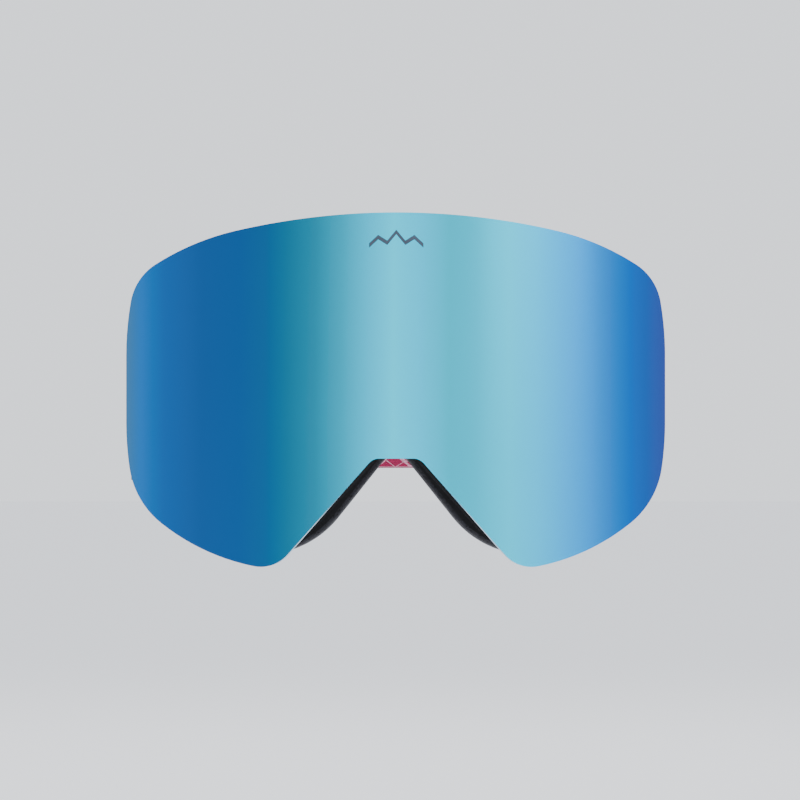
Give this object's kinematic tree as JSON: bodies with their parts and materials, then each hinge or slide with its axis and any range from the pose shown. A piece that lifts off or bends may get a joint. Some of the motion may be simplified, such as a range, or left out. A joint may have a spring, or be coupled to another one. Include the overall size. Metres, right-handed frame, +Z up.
{
  "type": "ski goggles",
  "caption": "Frameless ski goggles: a curved mirrored snap-off lens, vented soft frame, layered face foam and an elastic strap on swivelling clips.",
  "frame": {"origin": "middle of the face opening, on the fleece that touches the face, at mid-height of the lens", "axes": "-Y is the way the lens faces, +Y is towards the wearer's head, +Z is up, +X is to the right of someone facing the lens"},
  "size_m": [0.176, 0.2461, 0.115],
  "materials": {
    "lens_mirror": "blue and cyan mirror coating on polycarbonate",
    "inner_lens_clear": "clear smoke sheet",
    "carrier_plastic": "satin black moulding",
    "magnet_steel": "nickel plated",
    "lens_spacer_foam": "closed-cell strip",
    "breather_membrane": "matte",
    "frame_moulding": "fine matte grain",
    "vent_screen": "open-cell screen",
    "foam_firm": "fine open cells",
    "foam_soft": "open cells",
    "fleece": "short pile",
    "webbing": "woven with a pale zigzag",
    "silicone": "glossy",
    "pin_metal": "dark plated",
    "washer_nylon": "natural nylon",
    "clip_plastic": "satin black",
    "slider_plastic": "gloss black"
  },
  "bodies": {
    "frame": {"face_frame": "frame_moulding", "frame_magnets": "magnet_steel", "top_vent_screen": "vent_screen", "lower_vent_screen_left": "vent_screen", "lower_vent_screen_right": "vent_screen", "foam_base": "foam_firm", "foam_comfort": "foam_soft", "face_fleece": "fleece", "pivot_pin_left": "pin_metal", "pivot_pin_right": "pin_metal", "pivot_washer_left": "washer_nylon", "pivot_washer_right": "washer_nylon"},
    "lens": {"outer_lens": "lens_mirror", "lens_carrier": "carrier_plastic", "lens_magnets": "magnet_steel", "lens_spacer": "lens_spacer_foam", "inner_lens": "inner_lens_clear", "breather_plug": "breather_membrane"},
    "strap_mounts": {"strap_clip_left": "clip_plastic", "strap_clip_right": "clip_plastic", "strap_fold_left": "webbing", "strap_fold_right": "webbing", "strap_span_left": "webbing", "strap_span_right": "webbing"},
    "strap": {"strap_band": "webbing", "strap_tail_left": "webbing", "strap_tail_right": "webbing", "silicone_grip": "silicone"},
    "slider_left": {"strap_slider_left": "slider_plastic"},
    "slider_right": {"strap_slider_right": "slider_plastic"}
  },
  "joints": [
    {"name": "lens_pull", "type": "slide", "parent": "frame", "child": "lens", "axis": [0, -1, 0], "range_m": [0, 0.03]},
    {"name": "strap_tilt", "type": "hinge", "parent": "frame", "child": "strap_mounts", "pos_m": [0, 0.0075, -0.003], "axis": [1, 0, 0], "range_deg": [-35, 50]},
    {"name": "strap_stretch", "type": "slide", "parent": "strap_mounts", "child": "strap", "axis": [0, 1, 0], "range_m": [0, 0.045], "stiffness_N_per_m": 100, "deforming": ["strap_span_left", "strap_span_right"]},
    {"name": "slider_left_slide", "type": "slide", "parent": "strap", "child": "slider_left", "axis": [0, 1, 0], "range_m": [-0.008, 0.008]},
    {"name": "slider_right_slide", "type": "slide", "parent": "strap", "child": "slider_right", "axis": [0, 1, 0], "range_m": [-0.008, 0.008]}
  ]
}
